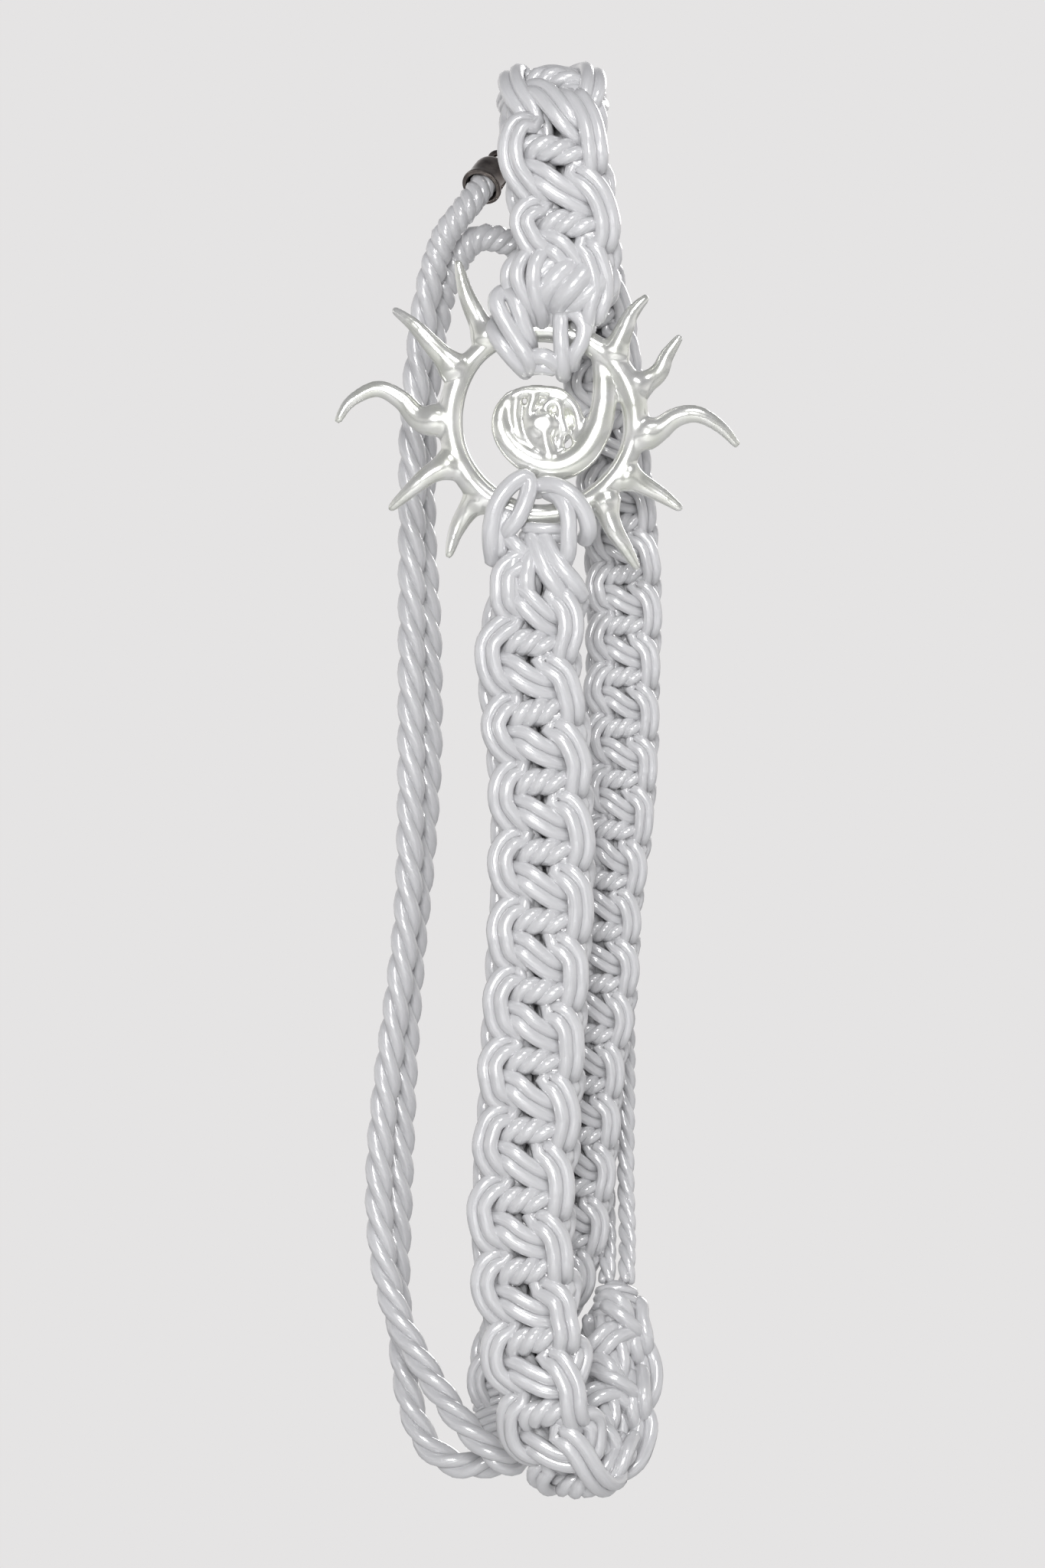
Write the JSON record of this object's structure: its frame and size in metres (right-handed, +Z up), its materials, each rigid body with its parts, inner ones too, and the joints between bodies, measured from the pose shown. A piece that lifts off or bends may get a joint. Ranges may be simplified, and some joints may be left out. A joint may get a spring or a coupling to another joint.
{
  "type": "rope belt",
  "caption": "Belt of knotted white satin rope with plain rope runs and a cast sun ornament, folded over a hook and hanging.",
  "frame": {"origin": "the underside of the top fold, where a hook bears, between the front and the rear strand", "axes": "+Z up along the hanging strands, -Y towards the viewer and out of the sun's face, +X to the viewer's right"},
  "size_m": [0.0656, 0.0408, 0.2322],
  "materials": {
    "satin_rope": "white satin",
    "pearl_silver": "polished pearl silver",
    "gunmetal": "polished gunmetal"
  },
  "bodies": {
    "root": {"upper_band": "satin_rope", "lower_band": "satin_rope", "sun_ornament": "pearl_silver", "upper_loops": "satin_rope", "lower_loops": "satin_rope", "upper_end_cap": "gunmetal", "lower_end_cap": "gunmetal", "front_left_rope": "satin_rope", "rear_left_rope": "satin_rope", "right_rope": "satin_rope", "middle_rope": "satin_rope", "clasp": "gunmetal", "rear_wrap": "satin_rope", "lower_wrap": "satin_rope"}
  },
  "joints": []
}
